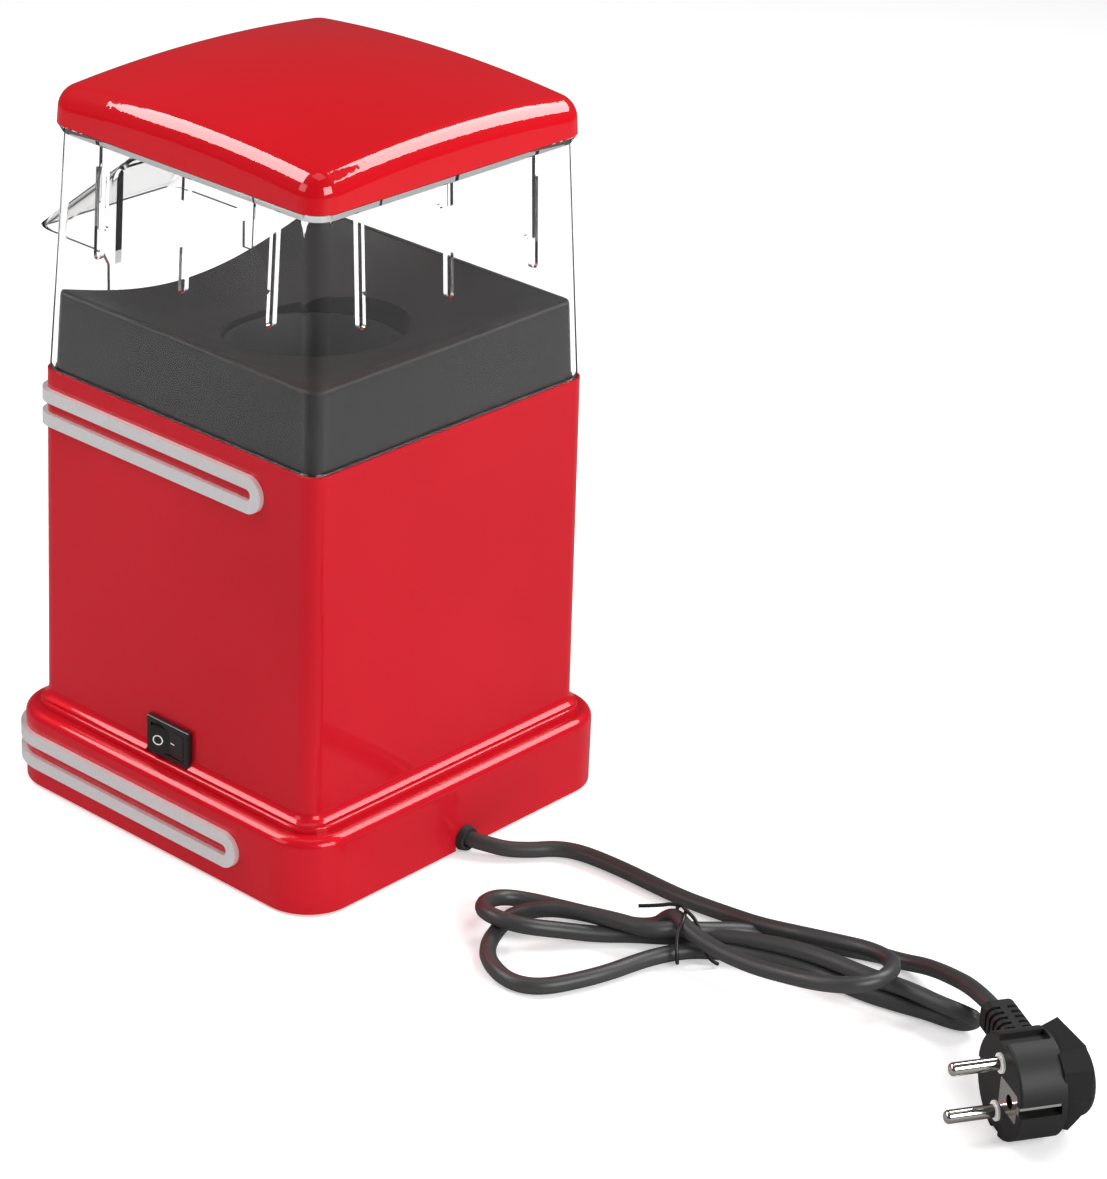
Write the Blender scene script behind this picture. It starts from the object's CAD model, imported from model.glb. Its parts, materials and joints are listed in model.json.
"""Looks for the hot-air popcorn maker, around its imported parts. Metres, +Z up, chute towards -Y."""

import json
import logging
import math
from dataclasses import dataclass, field
from enum import Enum
from typing import Any, Sequence, Union

import bmesh
import bpy
from mathutils import Matrix, Vector


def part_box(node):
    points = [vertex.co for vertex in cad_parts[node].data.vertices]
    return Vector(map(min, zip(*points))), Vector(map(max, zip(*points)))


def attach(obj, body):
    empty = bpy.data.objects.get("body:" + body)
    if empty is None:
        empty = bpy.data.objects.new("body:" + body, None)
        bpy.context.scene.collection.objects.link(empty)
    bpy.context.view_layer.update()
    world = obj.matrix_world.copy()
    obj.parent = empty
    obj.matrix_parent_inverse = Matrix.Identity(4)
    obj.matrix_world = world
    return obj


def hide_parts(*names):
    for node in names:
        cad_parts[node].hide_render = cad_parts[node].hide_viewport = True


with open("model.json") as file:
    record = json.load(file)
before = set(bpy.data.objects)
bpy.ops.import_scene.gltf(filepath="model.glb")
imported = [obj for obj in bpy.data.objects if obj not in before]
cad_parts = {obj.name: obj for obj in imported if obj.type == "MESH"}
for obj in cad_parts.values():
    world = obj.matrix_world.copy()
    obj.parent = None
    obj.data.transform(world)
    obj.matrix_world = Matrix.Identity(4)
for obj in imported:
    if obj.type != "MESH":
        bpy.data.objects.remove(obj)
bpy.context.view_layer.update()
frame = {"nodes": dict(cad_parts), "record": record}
LOG = logging.getLogger("popcorn_maker")
Point = tuple[float, float, float]
Colour = tuple[float, float, float]


class Body(Enum):
    """The moving bodies that pieces ride on."""

    BASE = "base_unit"
    HOOD = "hood"
    LID = "lid"
    ROCKER = "rocker"
    FAN = "fan"


# ------------------------------------------------------------------ shader arithmetic
class Value:
    """One shader value, which combines with numbers and other values by ordinary arithmetic."""

    def __init__(self, graph: "Graph", socket: bpy.types.NodeSocket) -> None:
        """Keeps the socket.

        Args:
            graph: the material's nodes.
            socket: the output that carries the value.
        """
        self.graph = graph
        self.socket = socket

    def _math(self, operation: str, first: "Number", second: "Number" = 0.0) -> "Value":
        """Adds one Math node.

        Args:
            operation: the node's operation.
            first: its first input.
            second: its second input.

        Returns:
            The node's result.
        """
        return self.graph.node("ShaderNodeMath", {"operation": operation}, {0: first, 1: second})

    def __add__(self, other: "Number") -> "Value":
        """Returns self + other."""
        return self._math("ADD", self, other)

    def __radd__(self, other: "Number") -> "Value":
        """Returns other + self."""
        return self._math("ADD", other, self)

    def __sub__(self, other: "Number") -> "Value":
        """Returns self - other."""
        return self._math("SUBTRACT", self, other)

    def __rsub__(self, other: "Number") -> "Value":
        """Returns other - self."""
        return self._math("SUBTRACT", other, self)

    def __mul__(self, other: "Number") -> "Value":
        """Returns self * other."""
        return self._math("MULTIPLY", self, other)

    def __rmul__(self, other: "Number") -> "Value":
        """Returns other * self."""
        return self._math("MULTIPLY", other, self)

    def maximum(self, other: "Number") -> "Value":
        """Returns the larger of self and other."""
        return self._math("MAXIMUM", self, other)

    def smooth(self, low: float, high: float) -> "Value":
        """Returns 0 below low and 1 above high, with a smooth step between."""
        inputs = {0: self, 1: low, 2: high, 3: 0.0, 4: 1.0}
        return self.graph.node("ShaderNodeMapRange", {"interpolation_type": "SMOOTHSTEP"}, inputs)


Number = Union[Value, float]


class Graph:
    """The nodes of one material."""

    def __init__(self, name: str) -> None:
        """Starts an empty material.

        Args:
            name: the material's name.
        """
        self.material = bpy.data.materials.new(name)
        self.material.use_nodes = True
        self.tree = self.material.node_tree
        self.tree.nodes.clear()

    def node(
        self,
        kind: str,
        settings: dict[str, Any] | None = None,
        inputs: dict[Any, Any] | None = None,
        output: int | str = 0,
    ) -> Value:
        """Adds any node.

        Args:
            kind: the node's type.
            settings: its properties, which are set first.
            inputs: its inputs by name or number, each a Value to link or a constant.
            output: the output to return.

        Returns:
            The chosen output.
        """
        node = self.tree.nodes.new(kind)
        for key, value in (settings or {}).items():
            setattr(node, key, value)
        for key, value in (inputs or {}).items():
            if isinstance(value, Value):
                self.tree.links.new(value.socket, node.inputs[key])
            else:
                node.inputs[key].default_value = value
        return Value(self, node.outputs[output])

    def place(self) -> Value:
        """Returns the point being shaded, in the piece's own frame."""
        return self.node("ShaderNodeTexCoord", output="Object")

    def noise(self, scale: float, detail: float = 2.0, stretch: Point = (1.0, 1.0, 1.0)) -> Value:
        """Returns smooth random values around a half.

        Args:
            scale: how fine the pattern is, in cycles per metre.
            detail: how many finer layers it has.
            stretch: factors on X, Y and Z.
        """
        spot = {"Vector": self.place(), "Scale": stretch}
        where = self.node("ShaderNodeMapping", {"vector_type": "POINT"}, spot)
        inputs = {"Vector": where, "Scale": scale, "Detail": detail}
        return self.node("ShaderNodeTexNoise", inputs=inputs)

    def mix(self, factor: Number, first: Colour, second: Colour) -> Value:
        """Returns a blend of two colours.

        Args:
            factor: 0 for the first colour, 1 for the second.
            first: linear red, green and blue.
            second: linear red, green and blue.
        """
        inputs = {0: factor, 6: (*first, 1.0), 7: (*second, 1.0)}
        return self.node("ShaderNodeMix", {"data_type": "RGBA"}, inputs, output=2)

    def bump(self, height: Value, strength: float, distance: float) -> Value:
        """Returns a normal disturbed by a height.

        Args:
            height: the height, from 0 to 1.
            strength: how much of it shows.
            distance: the height's real size in metres.
        """
        inputs = {"Height": height, "Strength": strength, "Distance": distance}
        return self.node("ShaderNodeBump", inputs=inputs)

    def surface(self, inputs: dict[str, Any]) -> Value:
        """Returns a Principled surface with these inputs, by name."""
        ready = {k: (*v, 1.0) if isinstance(v, tuple) and len(v) == 3 else v for k, v in inputs.items()}
        return self.node("ShaderNodeBsdfPrincipled", inputs=ready)

    def finish(self, shader: Value) -> bpy.types.Material:
        """Connects the shader and returns the finished material."""
        end = self.tree.nodes.new("ShaderNodeOutputMaterial")
        self.tree.links.new(shader.socket, end.inputs["Surface"])
        return self.material


# ------------------------------------------------------------------ finishes
@dataclass(frozen=True)
class Finish:
    """A material that can be built once and used on many pieces."""

    name: str

    def shader(self, graph: Graph) -> Value:
        """Returns the surface shader. Each kind of finish has its own.

        Args:
            graph: the material's nodes.
        """
        raise NotImplementedError

    def build(self) -> bpy.types.Material:
        """Returns the finished material, made on first use."""
        found = bpy.data.materials.get(self.name)
        if found is not None:
            return found
        graph = Graph(self.name)
        return graph.finish(self.shader(graph))


@dataclass(frozen=True)
class GlossPaint(Finish):
    """Glossy coloured plastic under a clear coat, with a slight depth of tone."""

    light: Colour
    deep: Colour
    metal: float = 0.0
    roughness: float = 0.3
    coat: float = 0.7
    coat_roughness: float = 0.03
    coat_ior: float = 1.5
    specular: float = 0.05

    def shader(self, graph: Graph) -> Value:
        """Returns coated paint whose tone drifts softly, with a trace of moulding ripple."""
        drift = graph.noise(9.0, 2.0).smooth(0.3, 0.7)
        ripple = graph.noise(60.0, 1.0)
        return graph.surface({
            "Base Color": graph.mix(drift, self.deep, self.light),
            "Metallic": self.metal,
            "Roughness": self.roughness + 0.04 * graph.noise(25.0, 3.0),
            "Specular IOR Level": self.specular,
            "Coat Weight": self.coat,
            "Coat Roughness": self.coat_roughness,
            "Coat IOR": self.coat_ior,
            "Normal": graph.bump(ripple, 0.05, 0.0006),
        })


@dataclass(frozen=True)
class Plastic(Finish):
    """Moulded plastic or rubber with a fine grain."""

    colour: Colour
    roughness: float = 0.4
    grain: float = 0.15
    grain_scale: float = 2600.0
    specular: float = 0.5

    def shader(self, graph: Graph) -> Value:
        """Returns a grained surface with faint cloudiness."""
        cloud = graph.noise(14.0, 3.0).smooth(0.3, 0.7)
        lifted = tuple(min(1.0, c * 1.12 + 0.002) for c in self.colour)
        grain = graph.noise(self.grain_scale, 2.0)
        return graph.surface({
            "Base Color": graph.mix(cloud, self.colour, lifted),
            "Roughness": self.roughness + 0.07 * graph.noise(30.0, 4.0),
            "Specular IOR Level": self.specular,
            "Normal": graph.bump(grain, self.grain, 0.0001),
        })


@dataclass(frozen=True)
class Metal(Finish):
    """Bare, plated or metallised metal, with fine lines along one axis."""

    colour: Colour
    roughness: float = 0.25
    lines: Point = (1.0, 1.0, 1.0)
    line_scale: float = 500.0
    line_depth: float = 0.05
    metallic: float = 1.0

    def shader(self, graph: Graph) -> Value:
        """Returns metal whose roughness follows its fine lines."""
        lines = graph.noise(self.line_scale, 3.0, self.lines)
        darker = tuple(c * 0.9 for c in self.colour)
        return graph.surface({
            "Base Color": graph.mix(lines, darker, self.colour),
            "Metallic": self.metallic,
            "Roughness": self.roughness + 0.1 * lines,
            "Normal": graph.bump(lines, self.line_depth, 0.0002),
        })


@dataclass(frozen=True)
class ClearPlastic(Finish):
    """Clear moulded plastic that lets soft light through to what it covers."""

    tint: Colour
    ior: float = 1.25

    def shader(self, graph: Graph) -> Value:
        """Returns refracting plastic that casts almost no shadow."""
        solid = graph.surface({
            "Base Color": self.tint,
            "Roughness": 0.0,
            "IOR": self.ior,
            "Transmission Weight": 1.0,
            "Normal": graph.bump(graph.noise(35.0, 1.0), 0.04, 0.0004),
        })
        open_air = graph.node("ShaderNodeBsdfTransparent", inputs={"Color": (0.97, 0.97, 0.97, 1.0)})
        shadow = graph.node("ShaderNodeLightPath", output="Is Shadow Ray")
        bounce = graph.node("ShaderNodeLightPath", output="Is Diffuse Ray")
        see_through = shadow.maximum(bounce)
        return graph.node("ShaderNodeMixShader", inputs={0: see_through, 1: solid, 2: open_air})


RED_BODY = GlossPaint(
    "red body", (0.66, 0.007, 0.020), (0.60, 0.005, 0.016), metal=0.25, roughness=0.42
)
RED_LID = GlossPaint(
    "red lid", (0.62, 0.0005, 0.008), (0.58, 0.0005, 0.006), roughness=0.5, coat=1.0, coat_ior=1.6
)
FINISHES: dict[str, Finish] = {
    "red_gloss": RED_BODY,
    "red_gloss_lid": RED_LID,
    "black_plastic": Plastic("black plastic", (0.02, 0.02, 0.02), 0.5),
    "deck_plastic": Plastic("deck plastic", (0.012, 0.012, 0.012), 0.4, 0.03, specular=0.2),
    "black_rubber": Plastic("black rubber", (0.018, 0.018, 0.018), 0.6),
    "steel": Metal("steel", (0.6, 0.6, 0.6), 0.3),
    "silver_trim": Metal("silver trim", (0.88, 0.86, 0.87), 0.32, line_depth=0.01, metallic=0.5),
    "switch_black": Plastic("switch black", (0.012, 0.012, 0.012), 0.22, 0.03),
    "brass": Metal("brass", (0.8, 0.6, 0.25), 0.25),
    "chamber_aluminium": Metal(
        "dark spun aluminium", (0.13, 0.13, 0.13), 0.45, (0.1, 0.1, 3.0), 900.0, 0.2
    ),
    "mica": Plastic("mica", (0.6, 0.52, 0.4), 0.4),
    "ceramic_white": Plastic("ceramic", (0.75, 0.74, 0.7), 0.4),
    "circuit_board": Plastic("board", (0.4, 0.28, 0.12), 0.5),
    "clear_plastic": ClearPlastic("clear plastic", (0.957, 0.954, 0.953)),
    "cord_black": Plastic("cord black", (0.042, 0.042, 0.042), 0.36, 0.08, 900.0),
    "tie_black": Plastic("tie black", (0.012, 0.012, 0.012), 0.3),
    "plug_black": Plastic("plug black", (0.012, 0.012, 0.012), 0.45, 0.35, 1500.0, 0.35),
    "nickel": Metal("nickel", (0.72, 0.69, 0.64), 0.12),
    "collar_white": Plastic("collar white", (0.8, 0.8, 0.78), 0.35),
}


# ------------------------------------------------------------------ pieces
def show(obj: bpy.types.Object, slot: str, body: Body) -> bpy.types.Object:
    """Gives a new piece its finish and the body it moves with.

    Args:
        obj: the piece, already in place.
        slot: the record's material slot.
        body: the body that it rides on.

    Returns:
        The same piece.
    """
    obj.data.materials.append(FINISHES[slot].build())
    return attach(obj, body.value)


def from_bmesh(name: str, mesh: bmesh.types.BMesh, smooth: bool = True) -> bpy.types.Object:
    """Turns a bmesh into a piece at the origin.

    Args:
        name: the piece's name.
        mesh: the geometry, in the appliance's frame.
        smooth: whether its faces are shaded smoothly.

    Returns:
        The new object.
    """
    bmesh.ops.remove_doubles(mesh, verts=mesh.verts, dist=1e-6)
    bmesh.ops.recalc_face_normals(mesh, faces=mesh.faces)
    data = bpy.data.meshes.new(name)
    mesh.to_mesh(data)
    mesh.free()
    for polygon in data.polygons:
        polygon.use_smooth = smooth
    obj = bpy.data.objects.new(name, data)
    bpy.context.scene.collection.objects.link(obj)
    return obj


@dataclass
class Wire:
    """A round wire or cord that follows control points along one smooth curve."""

    name: str
    points: Sequence[Point]
    radius: float
    slot: str

    def build(self) -> bpy.types.Object:
        """Returns the wire as one open curve that rides on the base."""
        data = bpy.data.curves.new(self.name, "CURVE")
        data.dimensions = "3D"
        spline = data.splines.new("NURBS")
        spline.points.add(len(self.points) - 1)
        for point, place in zip(spline.points, self.points):
            point.co = (*place, 1.0)
        spline.order_u = 3
        spline.use_endpoint_u = True
        spline.resolution_u = 8
        data.bevel_depth = self.radius
        data.bevel_resolution = 5
        data.use_fill_caps = True
        obj = bpy.data.objects.new(self.name, data)
        bpy.context.scene.collection.objects.link(obj)
        return show(obj, self.slot, Body.BASE)


@dataclass
class MainsLead:
    """The cord from the plinth's grommet to the plug, folded into two lobes and tied."""

    diameter: float = 0.0062
    length: float = 1.025
    exit: Point = (0.0, 0.1026, 0.0054)
    run_out: Sequence[Point] = (
        (0.0, 0.094, 0.0054), (-0.0004, 0.1029, 0.0054), (-0.003, 0.109, 0.0048), (-0.007, 0.1155, 0.0036),
        (-0.014, 0.122, 0.0031), (-0.021, 0.127, 0.0031), (-0.025, 0.133, 0.0031), (-0.027, 0.141, 0.0031),
        (-0.028, 0.155, 0.0031), (-0.028, 0.169, 0.0031), (-0.028, 0.183, 0.0031), (-0.029, 0.193, 0.0031),
        (-0.030, 0.207, 0.0040), (-0.029, 0.222, 0.0065), (-0.031, 0.239, 0.0093), (-0.035, 0.254, 0.0105),
        (-0.037, 0.266, 0.0120), (-0.035, 0.277, 0.0135), (-0.030, 0.282, 0.0145), (-0.022, 0.285, 0.0155),
        (-0.015, 0.284, 0.0155), (-0.008, 0.279, 0.0150), (-0.004, 0.268, 0.0130), (-0.003, 0.254, 0.0105),
        (-0.001, 0.242, 0.0095), (0.000, 0.229, 0.0095), (0.000, 0.217, 0.0105), (-0.001, 0.209, 0.0120),
        (-0.004, 0.202, 0.0123),
    )
    first_lobe: Sequence[Point] = (
        (-0.004, 0.198, 0.0100), (-0.002, 0.195, 0.0060), (0.001, 0.186, 0.0034), (0.005, 0.172, 0.0031),
        (0.010, 0.158, 0.0031), (0.015, 0.147, 0.0036), (0.022, 0.140, 0.0050), (0.031, 0.140, 0.0070),
        (0.039, 0.145, 0.0088), (0.041, 0.154, 0.0096), (0.037, 0.164, 0.0088), (0.025, 0.172, 0.0055),
        (0.015, 0.181, 0.0034), (0.005, 0.190, 0.0031), (-0.002, 0.199, 0.0031),
    )
    long_fold: Sequence[Point] = (
        (-0.009, 0.210, 0.0050), (-0.016, 0.224, 0.0070), (-0.021, 0.239, 0.0085), (-0.024, 0.252, 0.0090),
        (-0.025, 0.264, 0.0093), (-0.026, 0.276, 0.0093), (-0.028, 0.285, 0.0093), (-0.029, 0.294, 0.0093),
        (-0.029, 0.304, 0.0093), (-0.030, 0.312, 0.0093), (-0.0335, 0.3175, 0.0068), (-0.033, 0.312, 0.0031),
        (-0.031, 0.305, 0.0031), (-0.030, 0.298, 0.0031), (-0.027, 0.288, 0.0031), (-0.024, 0.276, 0.0031),
        (-0.023, 0.264, 0.0031), (-0.023, 0.253, 0.0031), (-0.019, 0.241, 0.0031), (-0.015, 0.232, 0.0031),
        (-0.010, 0.222, 0.0031),
    )
    second_lobe: Sequence[Point] = (
        (-0.003, 0.213, 0.0031), (0.005, 0.208, 0.0031), (0.016, 0.204, 0.0031), (0.032, 0.201, 0.0031),
        (0.046, 0.196, 0.0031), (0.056, 0.191, 0.0031), (0.061, 0.184, 0.0031), (0.061, 0.175, 0.0031),
        (0.056, 0.164, 0.0031), (0.048, 0.157, 0.0031), (0.039, 0.153, 0.0031), (0.032, 0.151, 0.0036),
        (0.029, 0.153, 0.0060), (0.024, 0.160, 0.0090), (0.018, 0.167, 0.0093), (0.013, 0.178, 0.0093),
        (0.009, 0.189, 0.0093), (0.007, 0.199, 0.0095),
    )
    tail: Sequence[Point] = (
        (-0.001, 0.205, 0.0095), (-0.008, 0.211, 0.0085), (-0.020, 0.215, 0.0055), (-0.029, 0.222, 0.0033),
        (-0.036, 0.235, 0.0031), (-0.044, 0.252, 0.0031), (-0.049, 0.263, 0.0031), (-0.051, 0.271, 0.0031),
        (-0.0505, 0.281, 0.0060), (-0.0475, 0.290, 0.0090), (-0.0435, 0.299, 0.0120), (-0.039, 0.308, 0.0150),
        (-0.0335, 0.3175, 0.0174), (-0.0275, 0.328, 0.0188), (-0.0222, 0.3366, 0.0188),
    )
    tie_loop: Sequence[Point] = (
        (-0.0080, 0.2035, 0.0150), (-0.0020, 0.2080, 0.0158), (0.0050, 0.2100, 0.0120), (0.0090, 0.2140, 0.0050),
        (0.0070, 0.2130, 0.0008), (0.0000, 0.2060, 0.0007), (-0.0080, 0.1990, 0.0010), (-0.0110, 0.1960, 0.0060),
        (-0.0090, 0.1985, 0.0130), (-0.0060, 0.2030, 0.0165), (-0.0040, 0.2060, 0.0170), (-0.0050, 0.2110, 0.0140),
        (-0.0020, 0.2170, 0.0080), (-0.0010, 0.2210, 0.0030), (-0.0040, 0.2230, 0.0010),
    )
    tie_end: Sequence[Point] = (
        (-0.0065, 0.2030, 0.0160), (-0.0050, 0.1990, 0.0160), (-0.0020, 0.1960, 0.0150), (0.0025, 0.1895, 0.0140),
    )

    def build(self) -> bpy.types.Object:
        """Returns the cord, with its plug, pins and twist tie declared as going with it."""
        points = [*self.run_out, *self.first_lobe, *self.long_fold, *self.second_lobe, *self.tail]
        cord = Wire("mains_cord", points, self.diameter / 2, "cord_black").build()
        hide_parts("cord_lead", "cord_hank", "cord_tail")
        tie = Wire("tie_wire", self.tie_loop, 0.0007, "tie_black").build()
        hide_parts("twist_tie")
        end = Wire("tie_free_end", self.tie_end, 0.0007, "tie_black").build()
        LOG.info("mains lead: %d control points", len(points))
        return cord


@dataclass
class SwitchMarks:
    """The pale ring and dash printed on the rocker."""

    ring_radius: float = 0.0021
    ring_width: float = 0.00045
    thickness: float = 0.00012
    ring_segments: int = 32
    ring_along: float = -0.0046
    dash_along: float = 0.0018
    dash_width: float = 0.00045
    dash_length: float = 0.0022
    hinge_x: float = 0.0715
    hinge_y: float = 0.016
    face_rise: float = 0.0039
    tilt: float = math.radians(9.0)
    blade_slope: float = math.atan2(2.0, 7.9)

    def build(self) -> bpy.types.Object:
        """Returns the marks, lying on the rocker's two faces."""
        low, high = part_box("switch_rocker")
        z = (low.z + high.z) / 2
        mesh = bmesh.new()
        circles = []
        for radius in (self.ring_radius, self.ring_radius - self.ring_width):
            circle = bmesh.ops.create_circle(
                mesh, cap_ends=False, segments=self.ring_segments, radius=radius
            )
            circles += circle["verts"]
        edges = {e for v in circles for e in v.link_edges}
        faces = bmesh.ops.bridge_loops(mesh, edges=list(edges))["faces"]
        raised = bmesh.ops.extrude_face_region(mesh, geom=faces)["geom"]
        tops = [v for v in raised if isinstance(v, bmesh.types.BMVert)]
        bmesh.ops.translate(mesh, vec=(0.0, 0.0, self.thickness), verts=tops)
        pivot = Vector((self.hinge_x, self.hinge_y, z))
        ring_place = self._face(pivot, self.ring_along)
        bmesh.ops.transform(mesh, matrix=ring_place, verts=mesh.verts)
        dash = bmesh.ops.create_cube(mesh, size=1.0)["verts"]
        size = Matrix.Diagonal((self.dash_width, self.dash_length, self.thickness, 1.0))
        bmesh.ops.transform(mesh, matrix=self._face(pivot, self.dash_along) @ size, verts=dash)
        marks = from_bmesh("rocker_marks", mesh, smooth=False)
        return show(marks, "collar_white", Body.ROCKER)

    def _face(self, pivot: Vector, along: float) -> Matrix:
        """Returns the placement of a mark on the rocker.

        Args:
            pivot: the rocker's hinge.
            along: how far along the rocker the mark is; negative is the end that stands out.
        """
        rise = self.face_rise + abs(along) * math.tan(self.blade_slope)
        place = Matrix.Translation((rise, along, 0.0))
        turn = math.copysign(self.blade_slope, along)
        facing = Matrix.Rotation(-turn, 4, "Z") @ Matrix.Rotation(math.radians(90), 4, "Y")
        tilted = Matrix.Rotation(self.tilt, 4, "Z")
        return Matrix.Translation(pivot) @ tilted @ place @ facing


# ------------------------------------------------------------------ camera and studio
@dataclass(frozen=True)
class View:
    """The camera."""

    place: Point = (0.92284, 0.93700, 0.71064)
    azimuth: float = 130.8418
    elevation: float = 25.6781
    roll: float = 2.5943
    lens: float = 114.20

    def build(self) -> bpy.types.Object:
        """Returns the camera, set as the scene's."""
        turn = math.radians(self.azimuth)
        down = math.radians(self.elevation)
        right = Vector((math.cos(turn), math.sin(turn), 0.0))
        level = Vector((-math.sin(turn), math.cos(turn), 0.0))
        forward = level * math.cos(down) - Vector((0.0, 0.0, math.sin(down)))
        upward = right.cross(forward)
        spin = math.radians(self.roll)
        side = right * math.cos(spin) + upward * math.sin(spin)
        top = upward * math.cos(spin) - right * math.sin(spin)
        data = bpy.data.cameras.new("camera")
        data.lens = self.lens
        data.sensor_width = 36.0
        data.clip_start = 0.05
        camera = bpy.data.objects.new("camera", data)
        rows = Matrix((side, top, -forward)).transposed()
        camera.matrix_world = Matrix.Translation(self.place) @ rows.to_4x4()
        bpy.context.scene.collection.objects.link(camera)
        bpy.context.scene.camera = camera
        return camera


@dataclass(frozen=True)
class SoftBox:
    """A rectangular area light aimed at a point."""

    name: str
    place: Point
    size: float
    power: float
    depth: float = 0.8
    along: Point = (1.0, 0.0, 0.0)
    target: Point = (0.0, 0.0, 0.14)

    def build(self) -> bpy.types.Object:
        """Returns the light, whose longer side runs along its own axis."""
        data = bpy.data.lights.new(self.name, "AREA")
        data.shape = "RECTANGLE"
        data.size = self.size
        data.size_y = self.depth
        data.energy = self.power
        light = bpy.data.objects.new(self.name, data)
        away = (Vector(self.place) - Vector(self.target)).normalized()
        upright = away.cross(Vector(self.along)).normalized()
        rows = Matrix((upright.cross(away), upright, away)).transposed()
        light.matrix_world = Matrix.Translation(self.place) @ rows.to_4x4()
        bpy.context.scene.collection.objects.link(light)
        return light


LID_PLACE: Point = (0.0, 0.0, 0.28)


@dataclass
class Studio:
    """Pale floor, even surroundings and soft lights."""

    floor_size: float = 12.0
    floor_drop: float = 0.0002
    floor_glow: float = 0.4
    floor_roughness: float = 0.7
    mirrored_grey: float = 0.25
    surround: float = 0.08
    boxes: list[SoftBox] = field(default_factory=lambda: [
        SoftBox("overhead", (0.0, 0.1, 1.6), 0.7, 1.5),
        SoftBox("left", (1.4, -0.5, 0.9), 0.8, 3.8, along=(0.3, 1.0, 0.0)),
        SoftBox("right", (0.1, 1.5, 0.8), 0.9, 16.0),
        SoftBox(
            "far left strip", (0.42, -0.75, 1.15), 0.95, 12.0, 0.5, (0.93, 0.0, -0.37), LID_PLACE
        ),
        SoftBox(
            "far right strip", (-0.88, 0.38, 1.06), 0.95, 12.0, 0.5, (0.0, 0.9, -0.43), LID_PLACE
        ),
    ])

    def build(self) -> None:
        """Makes the floor, the world and the lights."""
        mesh = bmesh.new()
        bmesh.ops.create_grid(mesh, x_segments=1, y_segments=1, size=self.floor_size / 2)
        floor = from_bmesh("floor", mesh, smooth=False)
        graph = Graph("studio floor")
        bright = graph.surface({
            "Base Color": graph.mix(graph.noise(1.5, 2.0), (0.86, 0.86, 0.86), (0.88, 0.88, 0.88)),
            "Roughness": self.floor_roughness,
            "Emission Color": (1.0, 1.0, 1.0),
            "Emission Strength": self.floor_glow,
        })
        grey = (self.mirrored_grey, self.mirrored_grey, self.mirrored_grey)
        dim = graph.surface({"Base Color": grey, "Roughness": self.floor_roughness})
        glossy = graph.node("ShaderNodeLightPath", output="Is Glossy Ray")
        through = graph.node("ShaderNodeLightPath", output="Is Transmission Ray")
        mirrored = glossy * (1.0 - through)
        shade = graph.node("ShaderNodeMixShader", inputs={0: mirrored, 1: bright, 2: dim})
        floor.data.materials.append(graph.finish(shade))
        floor.location.z = -self.floor_drop
        world = bpy.data.worlds.new("studio")
        world.use_nodes = True
        background = world.node_tree.nodes["Background"]
        background.inputs["Color"].default_value = (1.0, 1.0, 1.0, 1.0)
        background.inputs["Strength"].default_value = self.surround
        bpy.context.scene.world = world
        for box in self.boxes:
            box.build()
        bpy.context.scene.view_settings.view_transform = "Standard"
        LOG.info("studio: %d lights", len(self.boxes))


def paint_parts() -> None:
    """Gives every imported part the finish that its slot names."""
    for part in frame["record"]["subparts"]:
        obj = frame["nodes"][part["node"]]
        obj.data.materials.clear()
        obj.data.materials.append(FINISHES[part["material_slot"]].build())
        LOG.info("part %s: %s", part["node"], part["material_slot"])


def main() -> None:
    """Builds the camera, the cord, the other pieces and the studio."""
    logging.basicConfig(level=logging.INFO, format="%(message)s")
    View().build()
    MainsLead().build()
    paint_parts()
    marks = SwitchMarks().build()
    LOG.info("marks: %s", marks.name)
    Studio().build()


if __name__ == "__main__":
    main()
